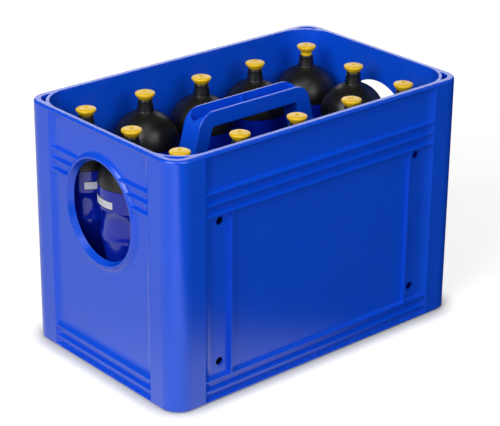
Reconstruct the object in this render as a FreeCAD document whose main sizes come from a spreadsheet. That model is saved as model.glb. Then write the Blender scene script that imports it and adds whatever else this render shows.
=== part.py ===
import FreeCAD, Part

import math
import os

import Sketcher

# Moulded carrying crate with twelve drinking bottles, in millimetres.
# The origin is on the ground under the middle of the crate: X runs along its long side, Z is up.
# Each bottle stands in a cell of its own, and the middle three cells are left free for the grip.

SIZES = {
    # Bottle pitch and the room round each bottle
    "bottle_radius": 36.4,
    "bottle_gap": 5.0,
    "cell_clearance": 1.2,
    # Crate outline
    "end_wall": 6.8,
    "side_wall": 7.6,
    "crate_height": 275.0,
    "corner_radius": 21.5,
    "rim_outer_round": 2.8,
    "rim_inner_round": 0.7,
    # Floor and the ring that the crate stands on
    "floor_top": 6.5,
    "floor_underside": 3.0,
    "foot_height": 1.8,
    "foot_inset": 5.0,
    "foot_width": 5.0,
    "drain_radius": 14.0,
    # Recessed panels between the corner columns
    "column_width": 40.0,
    "side_recess_depth": 4.8,
    "end_recess_depth": 4.2,
    "side_cove": 12.0,
    "end_cove": 9.0,
    "rim_band": 3.6,
    "rim_cove": 4.0,
    "base_lip": 3.0,
    "base_cove": 4.9,
    # Stiffening ribs round the panels
    "upper_rib_height": 207.4,
    "lower_rib_height": 13.0,
    "rib_pitch": 12.0,
    "rib_crest": 1.6,
    "rib_root": 5.5,
    "rib_shy": 0.25,
    "rib_seat": 0.6,
    "cut_over": 2.0,
    "side_ramp": 4.0,
    "end_ramp": 11.5,
    # Upright blades and the holes beside them
    "blade_x": 125.2,
    "blade_crest": 1.8,
    "blade_root": 2.6,
    "hole_x": 137.6,
    "hole_radius": 4.5,
    "hole_top_height": 198.0,
    "hole_bottom_height": 41.5,
    "dish_radius": 6.6,
    "dish_depth": 0.6,
    # Hand holes in the ends
    "hand_hole_radius": 54.0,
    "hand_hole_stretch": 6.0,
    "hand_hole_height": 184.3,
    "hand_hole_taper": 3.5,
    "collar_lip": 2.0,
    "collar_flank": 7.0,
    # Cores in the corner columns
    "pocket_radius": 14.0,
    "pocket_wall": 3.4,
    "pocket_depth": 30.0,
    "pocket_web": 3.0,
    # Cell dividers
    "divider_thickness": 2.0,
    "divider_top": 100.0,
    # Carrying grip
    "grip_width": 26.0,
    "grip_top": 264.0,
    "grip_underside": 246.8,
    "grip_leg": 19.0,
    "grip_knee_height": 103.0,
    "grip_splay": 0.27,
    "grip_outer_bend": 20.0,
    "grip_inner_bend": 4.0,
    "grip_edge_round": 1.2,
    "grip_skin": 2.7,
    "grip_core_top": 238.0,
    "trough_floor": 250.5,
    "trough_half_length": 75.0,
    "bead_width": 2.4,
    "bead_proud": 2.0,
    # Bottle, measured up from its own foot
    "bottle_wall": 1.4,
    "bottle_body_radius": 35.6,
    "bottle_heel": 6.0,
    "bottle_foot_radius": 24.0,
    "bottle_punt": 3.0,
    "waist_bottom": 59.5,
    "waist_middle": 103.5,
    "waist_top": 139.5,
    "waist_top_radius": 33.3,
    "bulge_bottom": 143.8,
    "bulge_top": 147.1,
    "bulge_radius": 34.5,
    "groove_height": 165.0,
    "groove_radius": 32.1,
    "groove_flat": 6.0,
    "band_bottom": 178.0,
    "band_top": 196.5,
    "band_inset": 0.3,
    "collar_inset": 0.1,
    "shoulder_height": 201.5,
    "neck_radius": 32.5,
    "neck_rise": 9.0,
    # Screw lid, measured up from the bottle's shoulder
    "lid_gap": 0.3,
    "lid_wall": 1.6,
    "nozzle_base_radius": 9.35,
    "nozzle_top_radius": 7.45,
    "nozzle_top": 49.5,
    "nozzle_bore_radius": 6.3,
    "post_radius": 1.7,
    "post_top": 55.5,
    # Push-pull valve
    "valve_gap": 0.3,
    "valve_head_radius": 10.9,
    "valve_head_rim": 1.5,
    "valve_rim_bevel": 0.5,
    "valve_head_base_radius": 6.9,
    "valve_head_rise": 5.0,
    "valve_crown": 2.0,
    "valve_stem_length": 10.0,
    "valve_stem_wall": 1.5,
    "valve_hole_radius": 2.0,
    "valve_face": 3.4,
    "raised_valve_lift": 3.5,
}

ROWS = {"front": -1, "middle": 0, "back": 1}
COLUMNS = (1, 2, 3, 4, 5)
GRIP_CELLS = (("middle", 2), ("middle", 3), ("middle", 4))
RAISED_VALVE = ("back", 5)
NEAR = 0.01


class Size:
    """A length that keeps both its present value and the sheet formula that it follows."""

    def __init__(self, value, formula):
        self.value = float(value)
        self.formula = formula

    def _joined(self, sign, other, value):
        return Size(value, f"({self.formula} {sign} {formula_of(other)})")

    def __add__(self, other):
        return self._joined("+", other, self.value + value_of(other))

    def __sub__(self, other):
        return self._joined("-", other, self.value - value_of(other))

    def __mul__(self, other):
        return self._joined("*", other, self.value * value_of(other))

    def __truediv__(self, other):
        return self._joined("/", other, self.value / value_of(other))

    def __neg__(self):
        return self * -1


def value_of(size):
    return size.value if isinstance(size, Size) else float(size)


def formula_of(size):
    return size.formula if isinstance(size, Size) else f"({float(size)})"


def root_of(size):
    return Size(math.sqrt(size.value), f"sqrt({size.formula})")


class Sheet:
    """The spreadsheet of driving dimensions; each alias reads as an attribute."""

    def __init__(self, doc, sizes):
        cells = doc.addObject("Spreadsheet::Sheet", "Sizes")
        for row, (alias, value) in enumerate(sizes.items(), start=1):
            cells.set(f"A{row}", alias)
            cells.set(f"B{row}", str(value))
            cells.setAlias(f"B{row}", alias)
        doc.recompute()
        for alias in sizes:
            setattr(self, alias, Size(cells.get(alias), f"Sizes.{alias}"))


doc = FreeCAD.newDocument("BottleCrate")
s = Sheet(doc, SIZES)

pitch = s.bottle_radius * 2 + s.bottle_gap
cell_radius = s.bottle_radius + s.cell_clearance
inner_x = pitch * 2 + cell_radius
inner_y = pitch + cell_radius
half_x = inner_x + s.end_wall
half_y = inner_y + s.side_wall
end_panel = half_x - s.end_recess_depth
side_panel = half_y - s.side_recess_depth


def bind(thing, path, size):
    thing.setExpression(path, formula_of(size))


def place(thing, x=0, y=0, z=0):
    for axis, size in zip("xyz", (x, y, z)):
        bind(thing, f"Placement.Base.{axis}", size)
    return thing


def to(u, v):
    """An outline's next corner, reached along a straight edge."""
    return u, v, None


def round_to(u, v, centre_u=None, centre_v=None):
    """An outline's next corner, reached along a round edge. One coordinate of its centre is enough."""
    return u, v, (centre_u, centre_v)


def arc_centre(start, end, known):
    """The centre's place, from the edge's two ends and the coordinate that is known."""
    (u0, v0), (u1, v1) = start, end
    middle_u, middle_v = (u0 + u1) / 2, (v0 + v1) / 2
    if known[0] is not None:
        u = value_of(known[0])
        return u, middle_v - (u - middle_u) * (u1 - u0) / (v1 - v0)
    v = value_of(known[1])
    return middle_u - (v - middle_v) * (v1 - v0) / (u1 - u0), v


def edge_of(start, end, known):
    """The edge between two corners, and whether it was drawn from its end to its start."""
    first = FreeCAD.Vector(*start, 0)
    last = FreeCAD.Vector(*end, 0)
    if known is None:
        return Part.LineSegment(first, last), False
    centre = FreeCAD.Vector(*arc_centre(start, end, known), 0)
    turns_left = (first - centre).cross(last - centre).z > 0
    if not turns_left:
        first, last = last, first
    angles = [math.atan2(point.y - centre.y, point.x - centre.x) for point in (first, last)]
    circle = Part.Circle(centre, FreeCAD.Vector(0, 0, 1), (first - centre).Length)
    return Part.ArcOfCircle(circle, *angles), not turns_left


def draw(sketch, *outlines):
    """Closed outlines whose corners and centres are all tied to the sheet."""
    edges, rules, formulas = [], [], {}

    def pin(kind, axis, edge, end, size):
        if isinstance(size, Size):
            formulas[len(rules)] = size.formula
            rules.append(Sketcher.Constraint(kind, -1, 1, edge, end, size.value))
        else:
            rules.append(Sketcher.Constraint("PointOnObject", edge, end, axis))

    for outline in outlines:
        first_edge, ends = len(edges), []
        for number, (u, v, known) in enumerate(outline):
            before = outline[number - 1]
            corners = [(value_of(point[0]), value_of(point[1])) for point in (before, (u, v))]
            edge, backwards = edge_of(*corners, known)
            index = len(edges)
            edges.append(edge)
            ends.append((index, 1 if backwards else 2, 2 if backwards else 1))
            pin("DistanceX", -2, index, ends[-1][1], u)
            pin("DistanceY", -1, index, ends[-1][1], v)
            if known and known[0] is not None:
                pin("DistanceX", -2, index, 3, known[0])
            elif known:
                pin("DistanceY", -1, index, 3, known[1])
        for (index, end, _), (following, _, start) in zip(ends, ends[1:] + ends[:1]):
            rules.append(Sketcher.Constraint("Coincident", index, end, following, start))
    sketch.addGeometry(edges, False)
    numbers = sketch.addConstraint(rules)
    for position, formula in formulas.items():
        sketch.setExpression(f"Constraints[{numbers[position]}]", formula)
    return sketch


def body_sketch(body, role, *outlines, height=0):
    """A sketch on one of the body's own planes, raised to a height."""
    sketch = body.newObject("Sketcher::SketchObject", f"{body.Name}_sketch")
    plane = next(item for item in body.Origin.OriginFeatures if item.Role == role)
    sketch.AttachmentSupport = (plane, [""])
    sketch.MapMode = "FlatFace"
    bind(sketch, "AttachmentOffset.Base.z", height)
    return draw(sketch, *outlines)


def new_body(name):
    body = doc.addObject("PartDesign::Body", name)
    body.Label = name
    return body


def pad(body, sketch, length, both_ways=False):
    feature = body.newObject("PartDesign::Pad", f"{body.Name}_pad")
    feature.Profile = sketch
    bind(feature, "Length", length)
    if both_ways:
        feature.SideType = "Symmetric"
    return feature


def pocket(body, sketch, depth, upwards=False):
    feature = body.newObject("PartDesign::Pocket", f"{body.Name}_pocket")
    feature.Profile = sketch
    bind(feature, "Length", depth)
    feature.Reversed = upwards
    return feature


def rounded(body, base, radius, chosen):
    """Rounds the edges of a feature that the test picks out."""
    doc.recompute()
    edges = [f"Edge{number}" for number, edge in enumerate(base.Shape.Edges, start=1) if chosen(edge)]
    feature = body.newObject("PartDesign::Fillet", f"{body.Name}_round")
    feature.Base = (base, edges)
    bind(feature, "Radius", radius)
    return feature


def turned(name, *outline):
    """A solid of revolution about its body's own Z axis."""
    body = new_body(name)
    feature = body.newObject("PartDesign::Revolution", f"{name}_turn")
    sketch = body_sketch(body, "XZ_Plane", outline)
    feature.Profile = sketch
    feature.ReferenceAxis = (sketch, ["V_Axis"])
    feature.Angle = 360
    return body


FACING = {
    "up": FreeCAD.Rotation(),
    "along_x": FreeCAD.Rotation(FreeCAD.Vector(0, 1, 0), 90),
    "along_y": FreeCAD.Rotation(FreeCAD.Vector(1, 0, 0), -90),
    # Sketch planes whose sketch axes are X and Z, and Y and Z
    "xz": FreeCAD.Rotation(FreeCAD.Vector(1, 0, 0), 90),
    "yz": FreeCAD.Rotation(FreeCAD.Vector(1, 1, 1), 120),
}


def free_sketch(name, facing, *outlines):
    sketch = doc.addObject("Sketcher::SketchObject", f"{name}_sketch")
    sketch.Placement = FreeCAD.Placement(FreeCAD.Vector(), FACING[facing])
    return draw(sketch, *outlines)


def bar(name, facing, *outlines, half_length):
    """Outlines drawn out equally both ways from their plane."""
    thing = doc.addObject("Part::Extrusion", name)
    thing.Base = free_sketch(name, facing, *outlines)
    thing.DirMode = "Normal"
    thing.Symmetric = True
    thing.Solid = True
    bind(thing, "LengthFwd", half_length * 2)
    return thing


def column(name, *outlines, bottom, top):
    """Outlines in plan, drawn up from one height to another."""
    thing = doc.addObject("Part::Extrusion", name)
    thing.Base = free_sketch(name, "up", *outlines)
    thing.DirMode = "Normal"
    thing.Solid = True
    bind(thing, "LengthFwd", top - bottom)
    return place(thing, z=bottom)


def block(name, low, high):
    thing = doc.addObject("Part::Box", name)
    for side, start, end in zip(("Length", "Width", "Height"), low, high):
        bind(thing, side, end - start)
    return place(thing, *low)


def rod(name, radius, length, at, facing="up"):
    thing = doc.addObject("Part::Cylinder", name)
    thing.Placement = FreeCAD.Placement(FreeCAD.Vector(), FACING[facing])
    bind(thing, "Radius", radius)
    bind(thing, "Height", length)
    return place(thing, *at)


def combined(kind, name, things):
    thing = doc.addObject(kind, name)
    thing.Shapes = things
    return thing


def fused(name, things):
    return combined("Part::MultiFuse", name, things)


def common(name, things):
    return combined("Part::MultiCommon", name, things)


def cut(name, base, tool):
    thing = doc.addObject("Part::Cut", name)
    thing.Base = base
    thing.Tool = tool
    return thing


def mirrored(thing, axis):
    """The same form on the other side of the crate, across X or Y."""
    twin = doc.addObject("Part::Mirroring", f"{thing.Name}_{axis}")
    twin.Source = thing
    twin.Normal = FreeCAD.Vector(axis == "x", axis == "y", 0)
    return twin


def both_sides(things, axis):
    return things + [mirrored(thing, axis) for thing in things]


def cove_radius(depth, width):
    """The radius of a hollow that meets a panel smoothly and rises by its depth over its width."""
    return (depth * depth + width * width) / (depth * 2)


def rounded_rectangle(x, y, radius):
    in_x, in_y = x - radius, y - radius
    return [
        round_to(-in_x, -y, -in_x, None),
        to(in_x, -y),
        round_to(x, -in_y, in_x, None),
        to(x, in_y),
        round_to(in_x, y, in_x, None),
        to(-in_x, y),
        round_to(-x, in_y, -in_x, None),
        to(-x, -in_y),
    ]


def long_slot(x, radius):
    """A slot along X with half-round ends; x is the middle of its end."""
    return [
        round_to(-x, -radius, -x, None),
        to(x, -radius),
        round_to(x + radius, 0, x, None),
        round_to(x, radius, x, None),
        to(-x, radius),
        round_to(-x - radius, 0, -x, None),
    ]


def crate_shell():
    """The plain tub: walls, rim, floor and the ring that it stands on."""
    body = new_body("shell")
    outline = rounded_rectangle(half_x, half_y, s.corner_radius)
    walls = pad(body, body_sketch(body, "XY_Plane", outline, height=s.foot_height),
                s.crate_height - s.foot_height)
    rim = s.crate_height.value
    rounded(body, walls, s.rim_outer_round, lambda edge: edge.BoundBox.ZMin > rim - NEAR)

    inset = s.foot_inset
    ring = rounded_rectangle(half_x - inset, half_y - inset, s.corner_radius - inset)
    pad(body, body_sketch(body, "XY_Plane", ring), s.floor_top)
    inset = s.foot_inset + s.foot_width
    hollow = rounded_rectangle(half_x - inset, half_y - inset, s.corner_radius - inset)
    pocket(body, body_sketch(body, "XY_Plane", hollow), s.floor_underside, upwards=True)

    cavity = rounded_rectangle(inner_x, inner_y, cell_radius)
    inside = pocket(body, body_sketch(body, "XY_Plane", cavity, height=s.crate_height),
                    s.crate_height - s.floor_top)
    reach = inner_x.value + NEAR

    def inner_rim(edge):
        box = edge.BoundBox
        return box.ZMin > rim - NEAR and max(-box.XMin, box.XMax) < reach

    rounded(body, inside, s.rim_inner_round, inner_rim)
    return body


def recess_plan(panel, flat, radius, along_x):
    """The hollow in plan, its coved ends running out of the wall."""
    points = [
        round_to(-flat, -panel, -flat, None),
        to(flat, -panel),
        round_to(flat + radius, -panel - radius, flat, None),
        to(-flat - radius, -panel - radius),
    ]
    if along_x:
        return points
    return [(v, u, known and (known[1], known[0])) for u, v, known in points]


def recess_section(panel, wall, depth):
    """The hollow seen from its end, with a cove under the rim and one above the base lip."""
    low = s.base_lip + s.base_cove
    high = s.crate_height - s.rim_band - s.rim_cove
    low_radius = cove_radius(depth, s.base_cove)
    high_radius = cove_radius(depth, s.rim_cove)
    outside = -wall - s.side_wall
    return [
        round_to(-panel, low, None, low),
        to(-panel, high),
        round_to(-panel - high_radius, high + high_radius, None, high),
        to(outside, high + high_radius),
        to(outside, low - low_radius),
        to(-panel - low_radius, low - low_radius),
    ]


def recesses():
    """The hollows in the two sides and the two ends."""
    flat_x = half_x - s.column_width - s.side_cove
    flat_y = half_y - s.column_width - s.end_cove
    side_radius = cove_radius(s.side_recess_depth, s.side_cove)
    end_radius = cove_radius(s.end_recess_depth, s.end_cove)
    side = common("side_recess", [
        column("side_recess_plan", recess_plan(side_panel, flat_x, side_radius, True),
               bottom=s.foot_height, top=s.crate_height),
        bar("side_recess_section", "yz", recess_section(side_panel, half_y, s.side_recess_depth),
            half_length=half_x),
    ])
    end = common("end_recess", [
        column("end_recess_plan", recess_plan(end_panel, flat_y, end_radius, False),
               bottom=s.foot_height, top=s.crate_height),
        bar("end_recess_section", "xz", recess_section(end_panel, half_x, s.end_recess_depth),
            half_length=half_y),
    ])
    return both_sides([side], "y") + both_sides([end], "x")


def rib(panel, wall, height, ramp=None):
    """One rib's section: a narrow crest on a wide root, or a hollow ramp down from its crest."""
    crest = -wall + s.rib_shy
    seat = -panel + s.rib_seat
    half_crest, half_root = s.rib_crest / 2, s.rib_root / 2
    lower = [to(seat, height - half_root), to(-panel, height - half_root), to(crest, height - half_crest),
             to(crest, height + half_crest)]
    if ramp is None:
        return lower + [to(-panel, height + half_root), to(seat, height + half_root)]
    top = height + ramp
    return lower + [round_to(-panel, top, None, top), to(seat, top)]


def ribs():
    """Three ribs under the top band and two above the base, on all four faces."""
    upper = [s.upper_rib_height + s.rib_pitch * step for step in range(3)]
    lowest, second = s.lower_rib_height, s.lower_rib_height + s.rib_pitch
    side = [rib(side_panel, half_y, height) for height in upper + [lowest]]
    side.append(rib(side_panel, half_y, second, s.side_ramp))
    end = [rib(end_panel, half_x, height) for height in upper + [lowest]]
    end.append(rib(end_panel, half_x, second, s.end_ramp))
    side_ribs = bar("side_ribs", "yz", *side, half_length=half_x - s.column_width + s.rib_crest)
    end_ribs = bar("end_ribs", "xz", *end, half_length=half_y - s.column_width + s.rib_crest)
    return both_sides([side_ribs], "y") + both_sides([end_ribs], "x")


def blades():
    """Two slim upright blades on each side, between the lower and the upper ribs."""
    crest = -half_y + s.rib_shy
    seat = -side_panel + s.rib_seat
    sections = []
    for centre in (-s.blade_x, s.blade_x):
        sections.append([
            to(centre - s.blade_root / 2, seat),
            to(centre - s.blade_crest / 2, crest),
            to(centre + s.blade_crest / 2, crest),
            to(centre + s.blade_root / 2, seat),
        ])
    blade = column("side_blades", *sections, bottom=s.lower_rib_height + s.rib_pitch, top=s.upper_rib_height)
    return both_sides([blade], "y")


def side_holes():
    """Four holes in each side, each in a shallow round dish."""
    things = []
    for row, height in (("top", s.hole_top_height), ("bottom", s.hole_bottom_height)):
        for end, x in (("left", -s.hole_x), ("right", s.hole_x)):
            depth = s.side_recess_depth + s.dish_depth
            things.append(rod(f"hole_{row}_{end}", s.hole_radius, s.side_wall + s.cut_over * 2,
                              (x, -half_y - s.cut_over, height), "along_y"))
            things.append(rod(f"dish_{row}_{end}", s.dish_radius, depth, (x, -half_y, height), "along_y"))
    return both_sides(things, "y")


def collar_section(radius):
    """Half of the collar's section, from the hole's middle out: a flush lip, then a hollow flank."""
    crest, panel, seat = -half_x, -end_panel, -end_panel + s.rib_seat
    foot = radius + s.collar_flank
    return [to(crest, radius), round_to(panel, foot, None, foot), to(seat, foot)]


def collars():
    """A raised collar round each hand hole, as two round ends and a short straight between them."""
    lip = s.hand_hole_radius + s.collar_lip
    section = collar_section(lip)
    seat, crest = section[-1][0], section[0][0]
    half_disc = [to(seat, 0), to(crest, 0)] + section
    sketch = free_sketch("collar", "xz", half_disc)
    things = []
    for end, way in (("top", 1), ("bottom", -1)):
        disc = doc.addObject("Part::Revolution", f"collar_{end}")
        disc.Source = sketch
        disc.Axis = FreeCAD.Vector(1, 0, 0)
        disc.Angle = 360
        disc.Solid = True
        things.append(place(disc, z=s.hand_hole_height + s.hand_hole_stretch * (way / 2)))
    foot = section[-1][1]
    straight = [
        to(seat, -foot),
        to(-end_panel, -foot),
        round_to(crest, -lip, None, -foot),
        to(crest, lip),
        round_to(-end_panel, foot, None, foot),
        to(seat, foot),
    ]
    things.append(column("collar_middle", straight,
                         bottom=s.hand_hole_height - s.hand_hole_stretch / 2,
                         top=s.hand_hole_height + s.hand_hole_stretch / 2))
    return both_sides(things, "x")


def hand_holes():
    """The hand holes, which narrow from the outer face to the inner one."""
    over = s.cut_over
    slope = s.hand_hole_taper / s.end_wall
    outer_radius = s.hand_hole_radius + slope * over
    inner_radius = s.hand_hole_radius - s.hand_hole_taper - slope * over
    outer_x, inner_x_end = -half_x - over, -inner_x + over
    bottom = s.hand_hole_height - s.hand_hole_stretch / 2
    top = s.hand_hole_height + s.hand_hole_stretch / 2
    things = []
    for end, height in (("top", top), ("bottom", bottom)):
        cone = doc.addObject("Part::Cone", f"hand_hole_{end}")
        cone.Placement = FreeCAD.Placement(FreeCAD.Vector(), FACING["along_x"])
        bind(cone, "Radius1", outer_radius)
        bind(cone, "Radius2", inner_radius)
        bind(cone, "Height", inner_x_end - outer_x)
        things.append(place(cone, outer_x, 0, height))
    middle = [
        to(outer_x, -outer_radius),
        to(inner_x_end, -inner_radius),
        to(inner_x_end, inner_radius),
        to(outer_x, outer_radius),
    ]
    things.append(column("hand_hole_middle", middle, bottom=bottom, top=top))
    return both_sides(things, "x")


def corner_cores():
    """Slim cores in each corner column, one from the rim and one from below, with a web between."""
    x, y = half_x - s.corner_radius, half_y - s.corner_radius
    web_top = s.crate_height - s.pocket_depth
    things = []
    for name, bottom, top in (
        ("rim_pocket", web_top, s.crate_height),
        ("base_core", -s.cut_over, web_top - s.pocket_web),
    ):
        inside = rod(f"{name}_inside", cell_radius + s.pocket_wall, top - bottom, (pitch * 2, pitch, bottom))
        outside = rod(f"{name}_outside", s.pocket_radius, top - bottom, (x, y, bottom))
        things.append(cut(name, outside, inside))
    return both_sides(both_sides(things, "x"), "y")


def dividers():
    """Thin walls between the cells, low enough to leave the bottles' tops free."""
    half = s.divider_thickness / 2
    bottom, top = s.floor_top - s.rib_seat, s.divider_top
    wall_x, wall_y = inner_x + s.rib_seat, inner_y + s.rib_seat
    row = pitch / 2
    things = [
        block("row_divider", (-wall_x, row - half, bottom), (wall_x, row + half, top)),
        block("short_divider_left", (-row - half, row, bottom), (-row + half, wall_y, top)),
        block("short_divider_right", (row - half, row, bottom), (row + half, wall_y, top)),
    ]
    things = both_sides(things, "y")
    outer = pitch * 1.5
    across = block("end_divider", (outer - half, -wall_y, bottom), (outer + half, wall_y, top))
    return things + both_sides([across], "x")


def drains():
    """A round hole in the floor under the middle of each cell."""
    things = []
    for row, side in ROWS.items():
        for number in COLUMNS:
            centre = (pitch * (number - 3), pitch * side, -s.cut_over)
            things.append(rod(f"drain_{row}_{number}", s.drain_radius, s.floor_top + s.cut_over * 2, centre))
    return things


def leg_line(x, height):
    """Where a line up the leg stands at a height: upright at its foot, then leaning in."""
    return x - s.grip_splay * (height - s.grip_knee_height)


def grip():
    """The carrying grip: a splayed portal with a trough along its top and hollow legs."""
    outer = pitch * 1.5
    inner = outer - s.grip_leg
    foot, knee = s.floor_underside, s.grip_knee_height
    top_x, under_x = leg_line(outer, s.grip_top), leg_line(inner, s.grip_underside)
    right = [
        to(top_x, s.grip_top), to(outer, knee), to(outer, foot),
        to(inner, foot), to(inner, knee), to(under_x, s.grip_underside),
    ]
    left = [to(-u, v) for u, v, _ in reversed(right)]
    body = new_body("grip_portal")
    portal = pad(body, body_sketch(body, "XZ_Plane", right + left), s.grip_width, both_ways=True)

    def corner_at(x, z):
        def chosen(edge):
            middle = edge.CenterOfMass
            straight_across = edge.BoundBox.YLength > s.grip_width.value - NEAR
            return straight_across and abs(abs(middle.x) - x.value) < NEAR and abs(middle.z - z.value) < NEAR
        return chosen

    bent = rounded(body, portal, s.grip_outer_bend, corner_at(top_x, s.grip_top))
    bent = rounded(body, bent, s.grip_inner_bend, corner_at(under_x, s.grip_underside))
    side = s.grip_width.value / 2
    above = s.grip_knee_height.value + NEAR

    def long_edge(edge):
        box = edge.BoundBox
        return box.YLength < NEAR and abs(abs(box.YMin) - side) < NEAR and box.ZMax > above

    rounded(body, bent, s.grip_edge_round, long_edge)

    trough_width = s.grip_width / 2 - s.grip_skin
    trough = column("grip_trough", long_slot(s.trough_half_length - trough_width, trough_width),
                    bottom=s.trough_floor, top=s.grip_top + s.cut_over)
    core_outer, core_inner = outer - s.grip_skin, inner + s.grip_skin
    core = [
        to(leg_line(core_outer, s.grip_core_top), s.grip_core_top), to(core_outer, knee),
        to(core_outer, -s.cut_over), to(core_inner, -s.cut_over), to(core_inner, knee),
        to(leg_line(core_inner, s.grip_core_top), s.grip_core_top),
    ]
    leg_core = bar("grip_leg_core", "xz", core, half_length=trough_width)
    bead = block("grip_bead",
                 (-s.bead_width / 2, trough_width - s.bead_proud, s.trough_floor - s.rib_seat),
                 (s.bead_width / 2, trough_width + s.rib_seat, s.grip_top - s.grip_edge_round))
    return body, both_sides([bead], "y"), trough, both_sides([leg_core], "x")


def crate():
    """The whole moulding, built up and then cored."""
    portal, beads, trough, leg_cores = grip()
    walls = cut("walls", crate_shell(), fused("wall_recesses", recesses()))
    open_grip = cut("open_grip", portal, trough)
    solid = fused("solid_moulding", [walls, open_grip] + beads + ribs() + blades() + collars() + dividers())
    cores = side_holes() + hand_holes() + corner_cores() + drains() + leg_cores
    moulding = cut("crate", solid, fused("moulding_cores", cores))
    moulding.Label = "crate"
    return moulding


def bottle_outside():
    """The outside from the foot up: heel, waist, bulge, groove, label band, collar and neck."""
    body = s.bottle_body_radius
    heel = body - s.bottle_heel
    band, collar = s.bottle_radius - s.band_inset, s.bottle_radius - s.collar_inset
    return [
        to(0, s.bottle_punt),
        to(s.bottle_foot_radius, 0),
        to(heel, 0),
        round_to(body, s.bottle_heel, heel, None),
        to(body, s.waist_bottom),
        round_to(s.waist_top_radius, s.waist_top, None, s.waist_middle),
        to(s.bulge_radius, s.bulge_bottom),
        to(s.bulge_radius, s.bulge_top),
        round_to(s.groove_radius, s.groove_height, None, s.groove_height),
        round_to(band, s.band_bottom, None, s.groove_height),
        to(band, s.band_top),
        to(collar, s.band_top),
        to(collar, s.shoulder_height),
        to(s.neck_radius, s.shoulder_height),
        to(s.neck_radius, s.shoulder_height + s.neck_rise),
    ]


def waist_depth():
    """How far the waist goes in at its middle, from the place where its arc starts and ends."""
    low, high = s.waist_bottom - s.waist_middle, s.waist_top - s.waist_middle
    body, top = s.bottle_body_radius, s.waist_top_radius
    centre = (body * body + low * low - top * top - high * high) / ((body - top) * 2)
    across = centre - body
    return root_of(across * across + low * low) - across


def bottle_inside():
    """The inside from the neck down, in straight runs that leave a wall of nearly even thickness."""
    wall, body = s.bottle_wall, s.bottle_body_radius
    band, shoulder = s.bottle_radius - s.band_inset - wall, s.shoulder_height - wall
    depth = waist_depth()
    low, high = s.waist_middle - s.waist_bottom, s.waist_top - s.waist_middle
    waist_rise = s.waist_top_radius - body + depth
    runs = [
        to(s.neck_radius - wall, s.shoulder_height + s.neck_rise),
        to(s.neck_radius - wall, shoulder),
        to(band, shoulder),
        to(band, s.band_bottom),
        to(s.groove_radius - wall, s.groove_height + s.groove_flat / 2),
        to(s.groove_radius - wall, s.groove_height - s.groove_flat / 2),
        to(s.bulge_radius - wall, s.bulge_top),
        to(s.bulge_radius - wall, s.bulge_bottom),
    ]
    for share in (1.0, 0.5, 0.0):
        runs.append(to(body - depth - wall + waist_rise * share ** 2, s.waist_middle + high * share))
    for share in (0.5, 1.0):
        runs.append(to(body - depth - wall + depth * share ** 2, s.waist_middle - low * share))
    return runs + [
        to(body - wall, s.bottle_heel),
        to(body - s.bottle_heel, wall),
        to(s.bottle_foot_radius, wall),
        to(0, s.bottle_punt + wall),
    ]


def bottle(name):
    """A blow-moulded bottle with a raised base inside its foot ring and an open neck."""
    return turned(name, *bottle_outside(), *bottle_inside())


def screw_lid(name):
    """A domed lid with a nozzle, and a post inside the nozzle that closes the valve."""
    dome, gap = s.bottle_radius, s.lid_gap
    inner = dome - s.lid_wall
    skirt, skirt_top = s.neck_radius + gap, s.neck_rise + gap
    nozzle = s.nozzle_base_radius
    # The inside is flat between places on its dome that are thirty degrees apart
    half = inner / 2
    most = root_of(inner * inner - half * half)
    return turned(
        name,
        to(skirt, gap),
        to(root_of(dome * dome - gap * gap), gap),
        round_to(nozzle, root_of(dome * dome - nozzle * nozzle), None, 0),
        to(s.nozzle_top_radius, s.nozzle_top),
        to(s.nozzle_bore_radius, s.nozzle_top),
        to(s.nozzle_bore_radius, dome),
        to(s.post_radius, dome),
        to(s.post_radius, s.post_top),
        to(0, s.post_top),
        to(0, inner),
        to(half, most),
        to(most, half),
        to(root_of(inner * inner - skirt_top * skirt_top), skirt_top),
        to(skirt, skirt_top),
    )


def drink_valve(name):
    """A mushroom valve whose hollow stem slides in the nozzle."""
    gap = s.valve_gap
    seat = s.nozzle_top + gap
    stem = s.nozzle_bore_radius - gap
    bore = stem - s.valve_stem_wall
    bottom = seat - s.valve_stem_length
    bevel = s.valve_rim_bevel
    edge = s.valve_head_radius - bevel
    rim_low = seat + s.valve_head_rise
    rim_high = rim_low + s.valve_head_rim
    top = rim_high + s.valve_crown
    return turned(
        name,
        to(bore, bottom),
        to(stem, bottom),
        to(stem, seat),
        to(s.valve_head_base_radius, seat),
        to(edge, rim_low),
        to(s.valve_head_radius, rim_low + bevel),
        to(s.valve_head_radius, rim_high - bevel),
        to(edge, rim_high),
        round_to(s.valve_hole_radius, top, 0, None),
        to(s.valve_hole_radius, top - s.valve_face),
        to(bore, top - s.valve_face),
    )


def filled_cells():
    """Each cell that holds a bottle: its name and the place of its middle."""
    for row, side in ROWS.items():
        for number in COLUMNS:
            if (row, number) not in GRIP_CELLS:
                yield (row, number), pitch * (number - 3), pitch * side


def bottles():
    """The bottles with their lids and valves; one valve is pulled part of the way open."""
    nodes = []
    for cell, x, y in filled_cells():
        row, number = cell
        shoulder = s.floor_top + s.shoulder_height
        lift = s.raised_valve_lift if cell == RAISED_VALVE else 0
        nodes.append(place(bottle(f"bottle_{row}_{number}"), x, y, s.floor_top))
        nodes.append(place(screw_lid(f"screw_lid_{row}_{number}"), x, y, shoulder))
        nodes.append(place(drink_valve(f"drink_valve_{row}_{number}"), x, y, shoulder + lift))
    return nodes


def checked(nodes):
    """Stops on any failed object, and on a node that isn't one sound solid."""
    for thing in doc.Objects:
        if "Invalid" in thing.State or "Error" in thing.State:
            raise RuntimeError(f"{thing.Label} failed: {thing.State}")
    for node in nodes:
        shape = node.Shape
        if shape.isNull() or not shape.isValid() or len(shape.Solids) != 1:
            raise RuntimeError(f"{node.Label} isn't one valid solid")
    return nodes


def main():
    nodes = [crate()] + bottles()
    doc.recompute()
    os.makedirs("parts", exist_ok=True)
    for node in checked(nodes):
        node.Shape.exportStep(f"parts/{node.Label}.step")


main()
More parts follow.
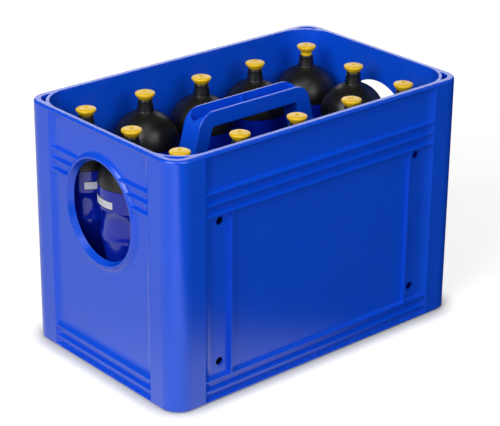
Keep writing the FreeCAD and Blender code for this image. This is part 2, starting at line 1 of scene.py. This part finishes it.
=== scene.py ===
# %% [markdown]
# # A moulded bottle crate with its twelve drinking bottles
#
# The crate, bottles, lids and valves come from a CAD model that is already built to size. This lesson
# gives those solids the look of the real thing: a studio with soft light, the plastics that the object
# is moulded from, and the small details that are too fine for the CAD. Everything is in metres, with
# the ground at z = 0 and the long side of the crate along X.

import math

import bpy
from mathutils import Matrix, Vector


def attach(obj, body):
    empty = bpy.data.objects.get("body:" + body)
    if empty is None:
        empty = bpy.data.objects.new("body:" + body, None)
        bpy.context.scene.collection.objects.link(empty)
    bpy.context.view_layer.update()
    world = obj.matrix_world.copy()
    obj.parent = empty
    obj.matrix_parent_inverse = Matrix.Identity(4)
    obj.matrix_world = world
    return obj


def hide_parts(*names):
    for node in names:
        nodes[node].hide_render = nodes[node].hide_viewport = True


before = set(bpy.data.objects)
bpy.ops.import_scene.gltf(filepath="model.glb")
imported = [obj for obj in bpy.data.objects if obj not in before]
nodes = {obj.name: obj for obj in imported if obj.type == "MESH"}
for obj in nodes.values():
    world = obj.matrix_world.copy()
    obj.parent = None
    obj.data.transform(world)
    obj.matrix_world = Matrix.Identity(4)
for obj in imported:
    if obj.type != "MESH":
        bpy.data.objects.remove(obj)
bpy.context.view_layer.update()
print("pieces in the frame:", len(nodes))

# %% [markdown]
# ## The camera
#
# A product photographer stands well back with a long lens, so that the crate's upright edges stay
# nearly parallel. The camera here orbits the crate: an azimuth, an elevation and a distance give
# its place, and a small roll levels it with the picture. Moving the camera up a little, instead of
# turning it, puts the crate in the middle of the frame.

# %% Camera
AZIMUTH, ELEVATION, ROLL = math.radians(-41.12), math.radians(23.60), math.radians(0.57)
DISTANCE, SIDEWAYS, UPWARDS = 2.0509, 0.0046, 0.1178
FOCAL_SHARE = 3.6612                # focal length as a share of the picture's width
SENSOR = 36.0                       # millimetres across
FARTHEST = 60.0                     # metres that the camera sees


def direction(azimuth, elevation):
    """The way out from the crate, at an azimuth that counts from -Y and an elevation, in radians."""
    flat = math.cos(elevation)
    return Vector((math.sin(azimuth) * flat, -math.cos(azimuth) * flat, math.sin(elevation)))


back = direction(AZIMUTH, ELEVATION)
level = Vector((math.cos(AZIMUTH), math.sin(AZIMUTH), 0.0))
right = Matrix.Rotation(ROLL, 3, back) @ level
up = back.cross(right)

camera_data = bpy.data.cameras.new("product_camera")
camera_data.sensor_fit = "HORIZONTAL"
camera_data.sensor_width = SENSOR
camera_data.lens = FOCAL_SHARE * SENSOR
camera_data.clip_end = FARTHEST
camera = bpy.data.objects.new("product_camera", camera_data)
bpy.context.scene.collection.objects.link(camera)
turn = Matrix((right, up, back)).transposed().to_4x4()
camera.matrix_world = Matrix.Translation(back * DISTANCE + right * SIDEWAYS + up * UPWARDS) @ turn
bpy.context.scene.camera = camera
print("lens:", round(camera_data.lens, 1), "mm, camera at", [round(value, 3) for value in camera.location])

# %% [markdown]
# ## Colours and nodes
#
# Colours are easiest to read as the hex codes of a paint chart, but a renderer adds up light, which
# needs linear values. One function turns the first into the second. Another adds a shader node
# together with its settings and links. The short ones after it stand for the nodes that nearly every
# material needs, so that each material below reads as a short list.

# %% Colour and node helpers
def linear(code):
    """The linear colour, with alpha, of an sRGB hex code."""
    shares = [int(code[place:place + 2], 16) / 255 for place in (1, 3, 5)]
    return [share / 12.92 if share <= 0.04045 else ((share + 0.055) / 1.055) ** 2.4
            for share in shares] + [1.0]


def add_node(tree, kind, inputs=(), **settings):
    """Adds a node. Inputs are socket: value or socket: output to link."""
    node = tree.nodes.new(kind)
    for name, value in settings.items():
        setattr(node, name, value)
    for name, value in dict(inputs).items():
        if isinstance(value, bpy.types.NodeSocket):
            tree.links.new(value, node.inputs[name])
        else:
            node.inputs[name].default_value = value
    return node


def calculate(tree, operation, *values):
    """The result of one sum."""
    return add_node(tree, "ShaderNodeMath", enumerate(values), operation=operation).outputs[0]


def span(tree, value, low, high, out_low=0.0, out_high=1.0, **settings):
    """Turns values between low and high into values from out_low to out_high."""
    ends = {"Value": value, "From Min": low, "From Max": high, "To Min": out_low, "To Max": out_high}
    return add_node(tree, "ShaderNodeMapRange", ends, **settings).outputs["Result"]


def mix_colours(tree, share, first, second):
    """A colour between two, which are hex codes or outputs. A share of 1 is the second."""
    first, second = [linear(colour) if isinstance(colour, str) else colour for colour in (first, second)]
    return add_node(tree, "ShaderNodeMix", {0: share, 6: first, 7: second}, data_type="RGBA").outputs[2]


def new_material(name):
    """An empty material, its node tree, and the place of each point on the object."""
    material = bpy.data.materials.new(name)
    material.use_nodes = True
    material.node_tree.nodes.clear()
    place = add_node(material.node_tree, "ShaderNodeTexCoord").outputs["Object"]
    return material, material.node_tree, place


def finish_material(material, inputs):
    """Gives a material its one shader."""
    tree = material.node_tree
    shader = add_node(tree, "ShaderNodeBsdfPrincipled", inputs)
    add_node(tree, "ShaderNodeOutputMaterial", {"Surface": shader.outputs[0]})
    print(material.name, "has", len(tree.nodes), "nodes")


# %% [markdown]
# ## The paper floor
#
# The photograph has a white background and hardly any shadow. A wide sheet of matt paper gives that,
# lit by the same lamps as the crate. Its material asks which kind of ray has come, because the camera
# and the glossy plastic see it differently.

# %% A sheet of paper
bpy.ops.object.select_all(action="DESELECT")
bpy.ops.mesh.primitive_plane_add(size=30)
paper = bpy.context.object
paper.name = "studio_paper"

matt_paper, tree, place = new_material("matt_white_paper")
ray = add_node(tree, "ShaderNodeLightPath").outputs
seen = calculate(tree, "MAXIMUM", ray["Is Camera Ray"], ray["Is Transmission Ray"])
print("paper:", [round(value, 1) for value in paper.dimensions], "m")

# %% [markdown]
# ### What the camera sees
#
# Light grey paper gets a white glow on top that only the camera finds. It clears the background
# without putting more light on the crate. Ambient occlusion measures how open the sky is over each
# point, and takes the glow away near the crate's foot, so a soft contact shadow stays there.

# %% Seen paper
CONTACT = 0.03                      # metres over which the crate's foot darkens the paper
open_sky = add_node(tree, "ShaderNodeAmbientOcclusion", {"Distance": CONTACT}, samples=12).outputs["AO"]
white = span(tree, open_sky, 0.5, 0.97, 0.1, 0.68, interpolation_type="SMOOTHSTEP")
seen_glow = calculate(tree, "MULTIPLY", seen, white)

# %% [markdown]
# ### What the plastic mirrors
#
# Glossy plastic shows what stands round it, and the two sides differ. The paper carries a painted
# reflection that only glossy rays find. On the window side it glows, a painted sheen that pales the
# end face and the corner column, brightest in front of the column. On the room side it is painted
# nearly black, a painted dark reflection that leaves the long face a deep blue.

# %% Mirrored paper
TO_WINDOW = (-0.707, 0.707, 0.0)    # along the floor, from the crate's middle
mirrored = ray["Is Glossy Ray"]
leftwards = add_node(tree, "ShaderNodeVectorMath", {0: place, 1: TO_WINDOW},
                     operation="DOT_PRODUCT").outputs["Value"]
# Painted reflection: where glossy rays find the paper glowing, and how strongly, brightest in front of the
# column
painted_glow_mask = span(tree, leftwards, -0.2, -0.02, interpolation_type="SMOOTHSTEP")
painted_glow_strength = span(tree, leftwards, 0.08, 0.3, 1.2, 0.64, interpolation_type="SMOOTHSTEP")
painted_reflection_glow = calculate(tree, "MULTIPLY", mirrored, painted_glow_mask)
# Painted dark reflection: on the room side, glossy rays find the paper painted nearly black
painted_dark_reflection = calculate(tree, "SUBTRACT", mirrored, painted_reflection_glow)
grey_and_painted_dark_tone = mix_colours(tree, painted_dark_reflection, "#8C8C8C", "#0C0C0C")
# The emission holds the painted reflection glow for glossy rays and the white glow for the camera
finish_material(matt_paper, {
    "Base Color": mix_colours(tree, seen, grey_and_painted_dark_tone, "#C8C8C8"),
    "Roughness": 0.9,
    "Specular IOR Level": 0.0,
    "Emission Color": linear("#FFFFFF"),
    "Emission Strength": calculate(tree, "MULTIPLY_ADD", painted_reflection_glow, painted_glow_strength, seen_glow),
})
paper.data.materials.append(matt_paper)

# %% [markdown]
# ## The room
#
# A faint even light stands for the walls of the studio and keeps the deepest gaps between the bottles
# from going black.

# %% World
ROOM_LIGHT = 0.06
world = bpy.data.worlds.new("studio_room")
bpy.context.scene.world = world
world.use_nodes = True
world.node_tree.nodes.clear()
room = add_node(world.node_tree, "ShaderNodeBackground", {"Color": linear("#FFFFFF"), "Strength": ROOM_LIGHT})
add_node(world.node_tree, "ShaderNodeOutputWorld", {"Surface": room.outputs[0]})
bpy.context.scene.view_settings.view_transform = "Standard"
print("room light:", ROOM_LIGHT)

# %% [markdown]
# ## Light
#
# Glossy plastic shows its lamps, so they are large and soft. A window-like panel and a fill beside it
# light the left end, a second fill lights the long side, a small one stands high in front, and a wide
# panel behind the crate draws the bright line along the rim. Each lamp looks at the middle of the
# crate.

# %% Lamps
SUBJECT = Vector((0.0, 0.0, 0.14))


def soft_panel(name, azimuth, elevation, distance, width, height, power):
    """A rectangular lamp at an azimuth and elevation round the crate, in degrees."""
    away = direction(math.radians(azimuth), math.radians(elevation))
    data = bpy.data.lights.new(name, "AREA")
    data.shape = "RECTANGLE"
    data.size, data.size_y, data.energy = width, height, power
    lamp = bpy.data.objects.new(name, data)
    bpy.context.scene.collection.objects.link(lamp)
    aim = away.to_track_quat("Z", "Y").to_matrix().to_4x4()
    lamp.matrix_world = Matrix.Translation(SUBJECT + away * distance) @ aim
    print(name, "at", [round(value, 2) for value in lamp.matrix_world.translation])


soft_panel("left_window", azimuth=-80, elevation=35, distance=2.3, width=1.4, height=1.4, power=33)
soft_panel("left_fill", azimuth=-70, elevation=22, distance=2.4, width=1.4, height=1.4, power=10)
soft_panel("right_fill", azimuth=-5, elevation=30, distance=2.4, width=1.4, height=1.4, power=21)
soft_panel("front_fill", azimuth=-41, elevation=65, distance=2.6, width=1.2, height=1.2, power=7)
soft_panel("back_panel", azimuth=139, elevation=22, distance=2.6, width=2.2, height=1.2, power=18)

# %% [markdown]
# ## Plastics
#
# Everything here is a moulded polyolefin: a waxy, slightly soft plastic that is coloured right
# through. Paint would show a clear coat, but these only have the skin that the mould gives them, so
# each is one shader with a base colour, a roughness and a fine bump. The patterns read the object
# coordinates, which are metres on the real object, so a width of 0.009 gives marks 9 mm wide.

# %% Pattern helpers
def noise(tree, place, width, detail, roughness=0.5):
    """A cloudy pattern from 0 to 1, with marks about one width wide."""
    clouds = {"Vector": place, "Scale": 1 / width, "Detail": detail, "Roughness": roughness}
    return add_node(tree, "ShaderNodeTexNoise", clouds).outputs[0]


def bump(tree, height, distance, normal=None, strength=1.0):
    """A surface that a pattern raises by up to a distance, on top of another bump if there is one."""
    inputs = {"Height": height, "Distance": distance, "Strength": strength}
    if normal is not None:
        inputs["Normal"] = normal
    return add_node(tree, "ShaderNodeBump", inputs).outputs[0]


# %% [markdown]
# ## The crate: injection-moulded HDPE
#
# High-density polyethylene fills a steel mould through a gate in the floor, and runs up the walls.
# That leaves three things for the eye: pigment clouds a few centimetres wide, upright flow streaks
# that bend reflections a little, and a satin skin from the spark-eroded steel. The skin's real grain
# is finer than a pixel, so it is drawn 1.2 mm wide. Where crates knock together, at the rim and at
# the base, the skin is rubbed a little paler and rougher.

# %% Crate plastic
BASE_KNOCKS = (0.009, 0.001)        # heights where the rubbing starts and where it is full
RIM_KNOCKS = (0.2715, 0.2748)
crate_hdpe, tree, place = new_material("injection_moulded_hdpe")
pigment = noise(tree, place, 0.045, 3.0)
stretched = add_node(tree, "ShaderNodeMapping", {"Vector": place, "Scale": (1 / 0.009, 1 / 0.009, 1 / 0.25)})
flow = noise(tree, stretched.outputs[0], 1.0, 2.0)
skin = noise(tree, place, 0.0012, 2.0)
rubbing = noise(tree, place, 0.003, 5.0, 0.65)
height = add_node(tree, "ShaderNodeSeparateXYZ", {"Vector": place}).outputs["Z"]
knocked = calculate(tree, "MAXIMUM", span(tree, height, *BASE_KNOCKS), span(tree, height, *RIM_KNOCKS))
rubbed = calculate(tree, "MULTIPLY", knocked, span(tree, rubbing, 0.5, 0.7, 0.0, 0.14))
unworn = mix_colours(tree, pigment, "#0651E4", "#044DD8")
finish_material(crate_hdpe, {
    "Base Color": mix_colours(tree, rubbed, unworn, "#6F8AE6"),
    "Roughness": calculate(tree, "ADD", span(tree, flow, 0.3, 0.7, 0.22, 0.27), rubbed),
    "IOR": 1.54,
    "Normal": bump(tree, skin, 0.000012, bump(tree, flow, 0.00006)),
})

# %% [markdown]
# ## The bottles: blow-moulded LDPE
#
# A squeezable bottle is low-density polyethylene: a hot tube is clamped in a two-part mould and blown
# against it. Its skin is smoother than the crate's, so its highlights are small and bright, and
# a little wavy, because the wall isn't equally thick. Where the mould's halves met, a fine line runs
# up both sides. The wrap node folds the twelve cells onto one, so that one line serves all bottles.

# %% Bottle plastic
PITCH = 0.0778                      # from one bottle's middle to the next
HALF = PITCH / 2
bottle_ldpe, tree, place = new_material("blow_moulded_ldpe")
cell = add_node(tree, "ShaderNodeVectorMath", {0: place, 1: (HALF, HALF, 1.0), 2: (-HALF, -HALF, -1.0)},
                operation="WRAP")
across = add_node(tree, "ShaderNodeSeparateXYZ", {"Vector": cell.outputs[0]}).outputs["Y"]
seam = span(tree, calculate(tree, "ABSOLUTE", across), 0.0, 0.0004, 1.0, 0.0)
wall = noise(tree, place, 0.022, 1.0)
blush = noise(tree, place, 0.006, 4.0)
finish_material(bottle_ldpe, {
    "Base Color": mix_colours(tree, wall, "#061E9C", "#0824AE"),
    "Roughness": span(tree, blush, 0.35, 0.65, 0.06, 0.12),
    "IOR": 1.51,
    "Normal": bump(tree, seam, 0.00015, bump(tree, wall, 0.00025), strength=0.6),
})

# %% [markdown]
# ## The lids: black polypropylene
#
# Polypropylene with carbon black is charcoal rather than black, and its mould was blasted, which
# gives an even satin. Handling leaves cloudy, slightly shinier places a fingertip wide.

# %% Lid plastic
lid_pp, tree, place = new_material("black_polypropylene")
touch = noise(tree, place, 0.016, 4.0, 0.6)
blast = noise(tree, place, 0.001, 2.0)
finish_material(lid_pp, {
    "Base Color": mix_colours(tree, touch, "#0D0D0C", "#171716"),
    "Roughness": span(tree, touch, 0.35, 0.65, 0.32, 0.42),
    "IOR": 1.49,
    "Normal": bump(tree, blast, 0.00002),
})

# %% [markdown]
# ## The valves: yellow LDPE
#
# The valves are soft enough to bite, and a thin yellow wall lets a little light through, so its
# shaded side stays warm. A short subsurface radius does that without making it look like wax.

# %% Valve plastic
valve_ldpe, tree, place = new_material("yellow_ldpe")
chalk = noise(tree, place, 0.004, 3.0)
skin = noise(tree, place, 0.0009, 2.0)
finish_material(valve_ldpe, {
    "Base Color": mix_colours(tree, chalk, "#F6CC1E", "#EFC016"),
    "Roughness": span(tree, chalk, 0.35, 0.65, 0.3, 0.4),
    "IOR": 1.51,
    "Normal": bump(tree, skin, 0.000015),
    "Subsurface Weight": 0.15, "Subsurface Radius": (1.0, 0.5, 0.1), "Subsurface Scale": 0.001,
})

# %% [markdown]
# ## Plastics on the CAD pieces
#
# Each CAD piece has one material slot, named after its plastic. The better material takes that slot.

# %% Filled slots
finishes = {"crate_plastic": crate_hdpe, "bottle_plastic": bottle_ldpe,
            "lid_plastic": lid_pp, "valve_plastic": valve_ldpe}
for node in nodes.values():
    for slot in node.material_slots:
        for plastic, finish in finishes.items():
            if slot.material and slot.material.name.startswith(plastic):
                slot.material = finish
                break
print({slot.material.name for node in nodes.values() for slot in node.material_slots})

# %% [markdown]
# ## Screw lids
#
# A lid is a dome that a machine screws on the bottle, with a nozzle on top. It is round all over, so it
# could be a profile spun round an axis. Here a flat disc grows like clay on a wheel instead: the top
# face is extruded and scaled, step by step, which keeps the mesh closed and lets every edge have the
# small rounding that a mould gives. The nozzle gets the foot ring and the two fine snap rings that
# the CAD leaves out. Radii and heights are in millimetres, above the bottle's shoulder.

# %% A disc that grows
ROUND = 64                          # sides of a lid's circle


def start_disc(name, start):
    """A flat round face at a (radius, height), ready to grow in edit mode."""
    radius, height = start
    bpy.ops.object.select_all(action="DESELECT")
    bpy.ops.mesh.primitive_circle_add(vertices=ROUND, radius=radius / 1000, fill_type="NGON",
                                      location=(0, 0, height / 1000))
    piece = bpy.context.object
    piece.name = name
    bpy.ops.object.transform_apply(location=True)
    bpy.ops.object.mode_set(mode="EDIT")
    bpy.ops.mesh.select_all(action="SELECT")
    return piece


def grow(start, steps):
    """Extrudes the selected disc from its (radius, height) through further ones."""
    radius, height = start
    for wider, higher in steps:
        bpy.ops.mesh.extrude_region_move(TRANSFORM_OT_translate={"value": (0, 0, (higher - height) / 1000)})
        share = wider / radius
        bpy.ops.transform.resize(value=(share, share, 1), center_override=(0, 0, higher / 1000))
        radius, height = wider, higher


def pick_faces(piece, wanted):
    """Selects the faces for which wanted(centre, normal) holds, and nothing else."""
    bpy.ops.object.mode_set(mode="OBJECT")
    mesh = piece.data
    mesh.vertices.foreach_set("select", [False] * len(mesh.vertices))
    mesh.edges.foreach_set("select", [False] * len(mesh.edges))
    mesh.polygons.foreach_set("select", [wanted(face.center, face.normal) for face in mesh.polygons])
    bpy.ops.object.mode_set(mode="EDIT")
    bpy.ops.mesh.select_mode(type="FACE")


def arc(centre, radius, first, last, count):
    """Points on a round edge between two angles in degrees."""
    turns = [math.radians(first + (last - first) * step / count) for step in range(count + 1)]
    return [(centre[0] + radius * math.cos(turn), centre[1] + radius * math.sin(turn)) for turn in turns]


def leave_smooth(piece):
    """Ends the work on a piece and smooths its gentle edges."""
    bpy.ops.object.mode_set(mode="OBJECT")
    bpy.ops.object.shade_smooth_by_angle(angle=math.radians(38))
    print(piece.name, "faces:", len(piece.data.polygons))


# %% One lid
DOME = 36.4                         # the dome's radius
SKIRT = (36.1, 0.3)                 # the lid's lower edge
lid = start_disc("lid_pattern", SKIRT)
dome = arc((0, 0), DOME, 1, 71, 18)
foot_ring = [(11.55, 34.85), (11.2, 35.15), (10.7, 35.25)] + arc((11.0, 37.2), 1.85, 250, 188, 4)
nozzle = [(7.98, 45.6), (8.16, 45.75), (8.16, 46.15), (7.9, 46.3), (7.84, 46.9), (8.02, 47.05), (8.02, 47.45),
          (7.76, 47.6), (7.56, 49.15), (7.25, 49.5), (6.5, 49.5), (6.3, 49.3)]
post = [(6.3, 36.4), (1.7, 36.4), (1.7, 55.1), (1.3, 55.5)]
grow(SKIRT, dome + foot_ring + nozzle + post)
hollow = [(32.8, 0.3), (32.8, 9.3), (33.5, 9.3), (30.1, 17.4), (17.4, 30.1), (1.0, 34.8)]
pick_faces(lid, lambda centre, normal: centre.z < 0.00031 and normal.z < -0.9)
grow(SKIRT, hollow)
leave_smooth(lid)

# %% [markdown]
# ## Push-pull valves
#
# The yellow valve slides on the nozzle: pulled up it opens, pushed down its hole closes on the post.
# It grows from a disc as the lid does. Its two open rings are then joined into the end of the hollow
# stem by a bridge. Then two of every four sides of the stem are inset, which makes the flutes that show
# where a valve stands open.

# %% One valve
STEM = (6.0, 39.8)                  # the valve's lower end
valve = start_disc("valve_pattern", STEM)
flare = [(5.7, 40.0), (6.0, 40.4), (6.0, 44.0), (6.0, 49.6), (7.1, 49.8), (7.5, 50.2), (8.0, 50.9),
         (8.9, 52.0), (9.8, 53.2), (10.45, 54.2), (10.8, 55.0), (10.9, 55.6), (10.8, 56.1), (10.5, 56.5),
         (10.0, 56.8)]
crown = [(9.2, 57.08), (8.0, 57.35), (6.6, 57.58), (5.0, 57.78), (3.6, 57.88), (2.7, 57.86), (2.3, 57.7),
         (2.0, 57.4)]
bore = [(2.0, 54.9), (4.5, 54.9), (4.5, 39.9)]
grow(STEM, flare + crown + bore)
pick_faces(valve, lambda centre, normal: abs(normal.z) > 0.9 and centre.xy.length < 0.001
           and centre.z < 0.03995)
bpy.ops.mesh.delete(type="ONLY_FACE")
bpy.ops.mesh.select_mode(type="EDGE")
bpy.ops.mesh.select_all(action="DESELECT")
bpy.ops.mesh.select_non_manifold()
bpy.ops.mesh.bridge_edge_loops()
bpy.ops.object.mode_set(mode="OBJECT")
print("valve faces without flutes:", len(valve.data.polygons))

# %% Flutes round the stem
FLUTE_LOW, FLUTE_HIGH, FLUTE_DEPTH = 0.044, 0.0496, 0.0004


def in_flute(centre, normal):
    """Whether a face is on the stem's outside and in a flute. Each flute is two of every four sides."""
    side = int(math.degrees(math.atan2(centre.y, centre.x)) % 360 / 360 * ROUND)
    return FLUTE_LOW < centre.z < FLUTE_HIGH and centre.xy.length > 0.0055 and side % 4 < 2


pick_faces(valve, in_flute)
bpy.ops.mesh.inset(thickness=0.00012, depth=-FLUTE_DEPTH)
leave_smooth(valve)

# %% [markdown]
# ## Twelve of each
#
# Each bottle gets its own lid and valve, which ride on the bodies that the CAD moves. A copy has its
# own mesh, and its place is applied to that mesh, so the copy turns and slides about the right axis.

# %% Copies on every bottle
SHOULDER = 0.208                    # height at which the lids sit
MIDDLE = 3                          # the column that stands at x = 0
ROWS = {"front": -1, "middle": 0, "back": 1}
RAISED = {("back", 5): 0.0035}      # this valve stands open in the photograph


def copy_to(pattern, name, place):
    """A copy with its own mesh, standing at a place."""
    bpy.ops.object.select_all(action="DESELECT")
    pattern.select_set(True)
    bpy.context.view_layer.objects.active = pattern
    bpy.ops.object.duplicate()
    piece = bpy.context.object
    piece.name = name
    piece.location = place
    bpy.ops.object.transform_apply(location=True)
    return piece


cells = [(row, number) for row in ROWS for number in range(1, 6) if f"bottle_{row}_{number}" in nodes]
for row, number in cells:
    x, y = PITCH * (number - MIDDLE), PITCH * ROWS[row]
    dressed_lid = copy_to(lid, f"dressed_lid_{row}_{number}", (x, y, SHOULDER))
    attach(dressed_lid, f"lid_{row}_{number}")
    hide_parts(f"screw_lid_{row}_{number}")
    dressed_lid.data.materials.append(finishes["lid_plastic"])
    lift = RAISED.get((row, number), 0.0)
    dressed_valve = copy_to(valve, f"dressed_valve_{row}_{number}", (x, y, SHOULDER + lift))
    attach(dressed_valve, f"valve_{row}_{number}")
    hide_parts(f"drink_valve_{row}_{number}")
    dressed_valve.data.materials.append(finishes["valve_plastic"])
bpy.data.objects.remove(lid)
bpy.data.objects.remove(valve)
print("dressed cells:", len(cells))

# %% [markdown]
# ## Printed fields
#
# Through the hand hole, two bottles show a small pale field with a dark edge, printed on the band under
# the shoulder. The fields stay plain. Screen ink dries matt on the shiny bottle, with a fine speckle.

# %% Inks
TONES = {"white_screen_ink": ("#D9DBE2", "#C6C9D4"), "black_screen_ink": ("#101116", "#1A1B22")}
inks = []
for name, (light, dark) in TONES.items():
    ink, tree, place = new_material(name)
    speckle = noise(tree, place, 0.0012, 3.0)
    finish_material(ink, {
        "Base Color": mix_colours(tree, speckle, light, dark),
        "Roughness": span(tree, speckle, 0.35, 0.65, 0.4, 0.55),
        "IOR": 1.5,
        "Normal": bump(tree, speckle, 0.00001),
    })
    inks.append(ink)

# %% [markdown]
# A field is cut from a tube of the band's own width by two bisecting planes. Its dark edge is an inset
# ring of faces with an ink of its own.

# %% One field
BAND, FIELD_WIDTH, FIELD_HEIGHT, EDGE = 0.03615, 0.034, 0.0095, 0.0008
FIELD_MIDDLE = 0.1924               # height above the ground
bpy.ops.object.select_all(action="DESELECT")
bpy.ops.mesh.primitive_cylinder_add(vertices=256, radius=BAND, depth=FIELD_HEIGHT, end_fill_type="NOTHING",
                                    location=(0, 0, FIELD_MIDDLE))
field = bpy.context.object
field.name = "field_pattern"
bpy.ops.object.transform_apply(location=True)
bpy.ops.object.mode_set(mode="EDIT")
half_turn = FIELD_WIDTH / BAND / 2
for side in (-1, 1):
    bpy.ops.mesh.select_all(action="SELECT")
    cut = math.radians(180) + side * half_turn
    bpy.ops.mesh.bisect(plane_co=(0, 0, FIELD_MIDDLE),
                        plane_no=(side * -math.sin(cut), side * math.cos(cut), 0), clear_outer=True)
bpy.ops.mesh.select_all(action="SELECT")
bpy.ops.mesh.normals_make_consistent(inside=False)
bpy.ops.mesh.inset(thickness=EDGE, use_boundary=True)
bpy.ops.object.mode_set(mode="OBJECT")
for face in field.data.polygons:
    face.material_index = 0 if face.select else 1
print("field:", [round(value * 1000, 1) for value in field.dimensions], "mm")

# %% [markdown]
# The two bottles stand at the left end, each turned as in the photograph. A solidify modifier gives the
# fields the thickness of a film of ink.

# %% The two fields that show
TURNED = {"middle": -9, "back": 75} # degrees round the bottle, where 0 faces the left end
FILM = 0.0001                       # thickness of the ink
for row, turned in TURNED.items():
    printed = copy_to(field, f"printed_field_{row}_1", (0, 0, 0))
    printed.rotation_euler.z = math.radians(turned)
    printed.location = (PITCH * (1 - MIDDLE), PITCH * ROWS[row], 0)
    bpy.ops.object.transform_apply(location=True, rotation=True)
    for ink in inks:
        printed.data.materials.append(ink)
    film = printed.modifiers.new("film", "SOLIDIFY")
    film.thickness, film.offset = FILM, 1.0
    bpy.ops.object.modifier_apply(modifier="film")
    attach(printed, "crate_and_bottles")
    print(printed.name, "faces:", len(printed.data.polygons))
bpy.data.objects.remove(field)
